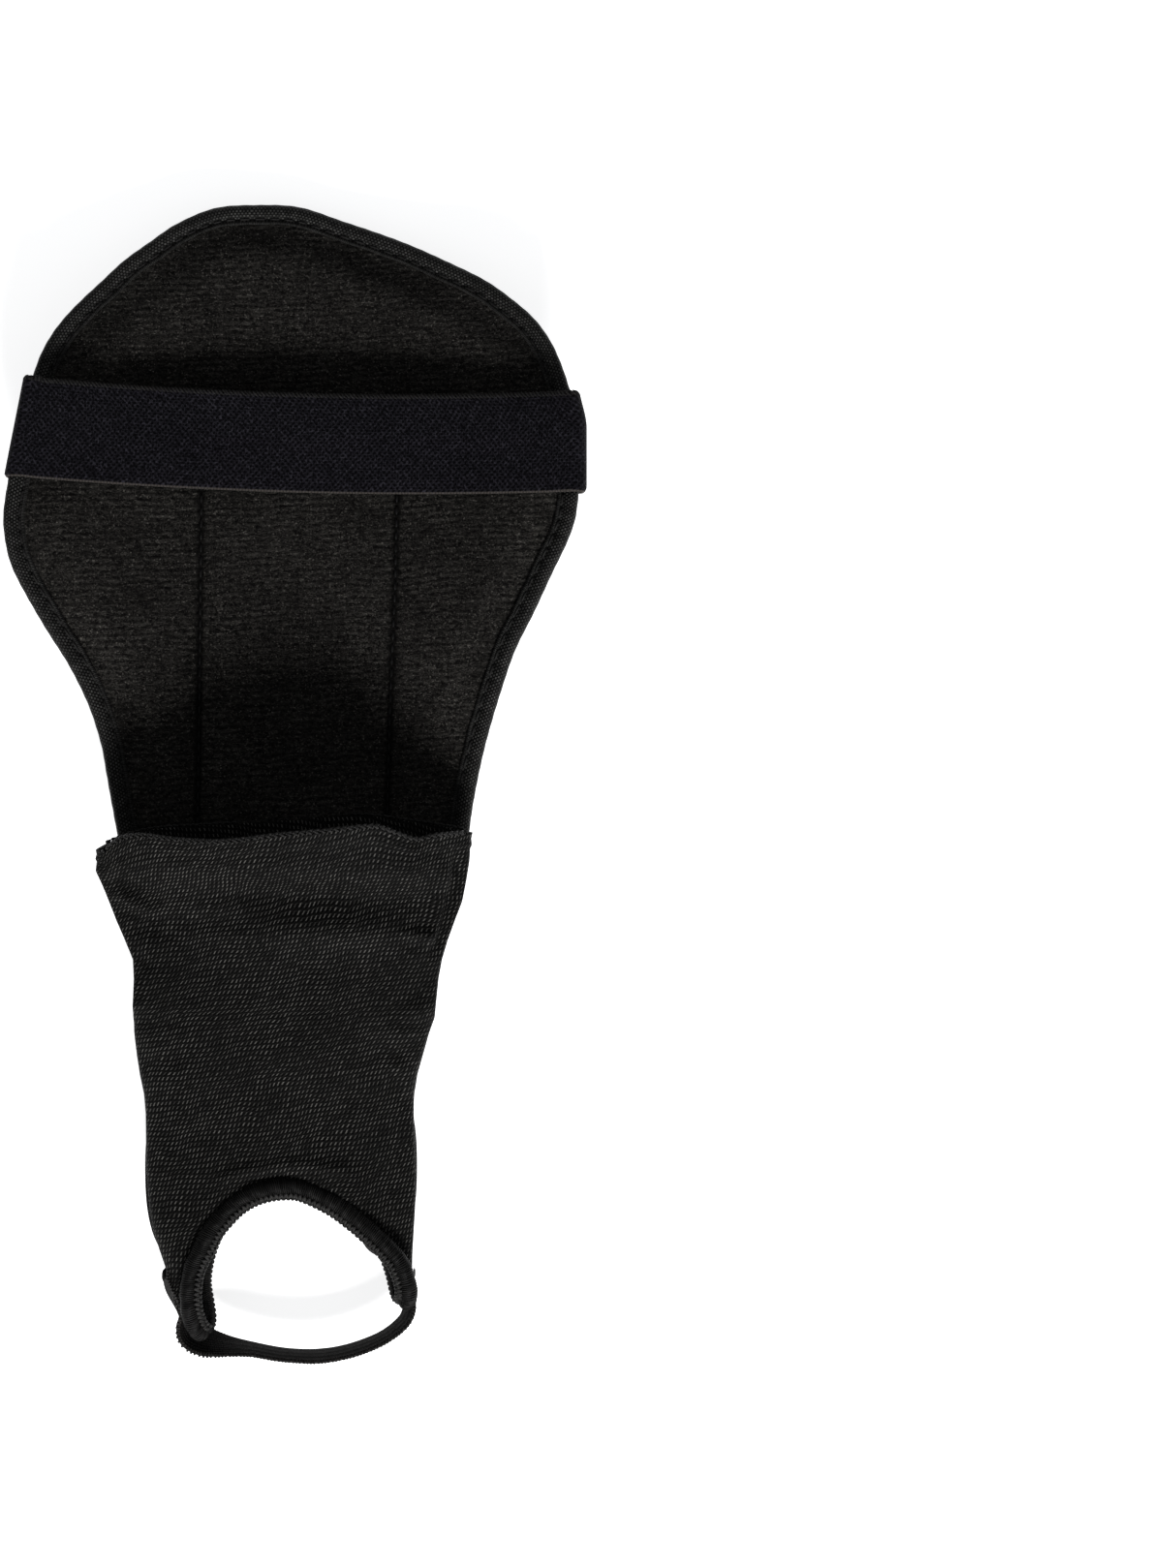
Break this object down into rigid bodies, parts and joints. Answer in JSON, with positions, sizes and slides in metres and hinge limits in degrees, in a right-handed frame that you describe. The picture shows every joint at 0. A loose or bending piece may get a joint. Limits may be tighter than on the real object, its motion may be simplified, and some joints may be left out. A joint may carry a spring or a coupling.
{
  "type": "football shin guard with ankle sleeve",
  "caption": "Football shin guard: curved foam-backed board with bound edge, elastic calf strap, knit ankle sleeve with heel opening and under-foot elastic, laid on its front.",
  "frame": {"origin": "centre of the guard's outline on the surface that it lies on, front face down", "axes": "+Y up the leg towards the knee, +Z out of the inside (leg) face, +X towards the medial side of the left leg"},
  "size_m": [0.148, 0.2978, 0.0408],
  "materials": {
    "hard_plastic": "moulded polypropylene, satin black with fine grain",
    "face_cloth": "black warp-knit polyester, matt",
    "eva_foam": "closed-cell EVA foam, matt black",
    "brushed_lining": "brushed black knit with faint crosswise wales",
    "nylon_tape": "black woven nylon binding tape",
    "thread": "black polyester sewing thread",
    "elastic_webbing": "navy-black knitted elastic",
    "hook_tape": "black nylon hook tape",
    "loop_tape": "black loop tape, fuzzy",
    "sleeve_knit": "charcoal-black elastic knit with shiny yarn",
    "rim_thread": "black overlock thread wrapped over a rolled edge",
    "foot_elastic": "narrow ribbed black elastic"
  },
  "bodies": {
    "root": {"front_shell": "hard_plastic", "front_cover": "face_cloth", "foam_pad": "eva_foam", "inner_lining": "brushed_lining", "edge_binding": "nylon_tape", "binding_stitch": "thread", "channel_seam_lateral": "thread", "channel_seam_medial": "thread", "calf_strap": "elastic_webbing", "strap_anchor_stitch": "thread", "loop_patch": "loop_tape", "loop_patch_stitch": "thread", "sleeve_upper": "sleeve_knit", "sleeve_top_hem": "sleeve_knit"},
    "pull_tab": {"hook_tab": "elastic_webbing", "hook_patch": "hook_tape", "tab_stitch": "thread"},
    "ankle_cuff": {"sleeve_lower": "sleeve_knit", "ankle_rim": "rim_thread", "ankle_pad_lateral": "eva_foam", "ankle_pad_medial": "eva_foam", "pad_cover_lateral": "face_cloth", "pad_cover_medial": "face_cloth", "bartack_lateral": "thread", "bartack_medial": "thread"},
    "stirrup": {"foot_strap": "foot_elastic"}
  },
  "joints": [
    {"name": "ankle_flex", "type": "hinge", "parent": "root", "child": "ankle_cuff", "pos_m": [0, -0.0615, 0.017], "axis": [1, 0, 0], "range_deg": [-40, 20]},
    {"name": "hook_tab_peel", "type": "hinge", "parent": "root", "child": "pull_tab", "pos_m": [-0.0625, 0.0873, 0.0135], "axis": [0, 1, 0], "range_deg": [0, 140]},
    {"name": "stirrup_swing", "type": "hinge", "parent": "ankle_cuff", "child": "stirrup", "pos_m": [0, -0.128, 0.0095], "axis": [1, 0, 0], "range_deg": [-30, 30]}
  ]
}
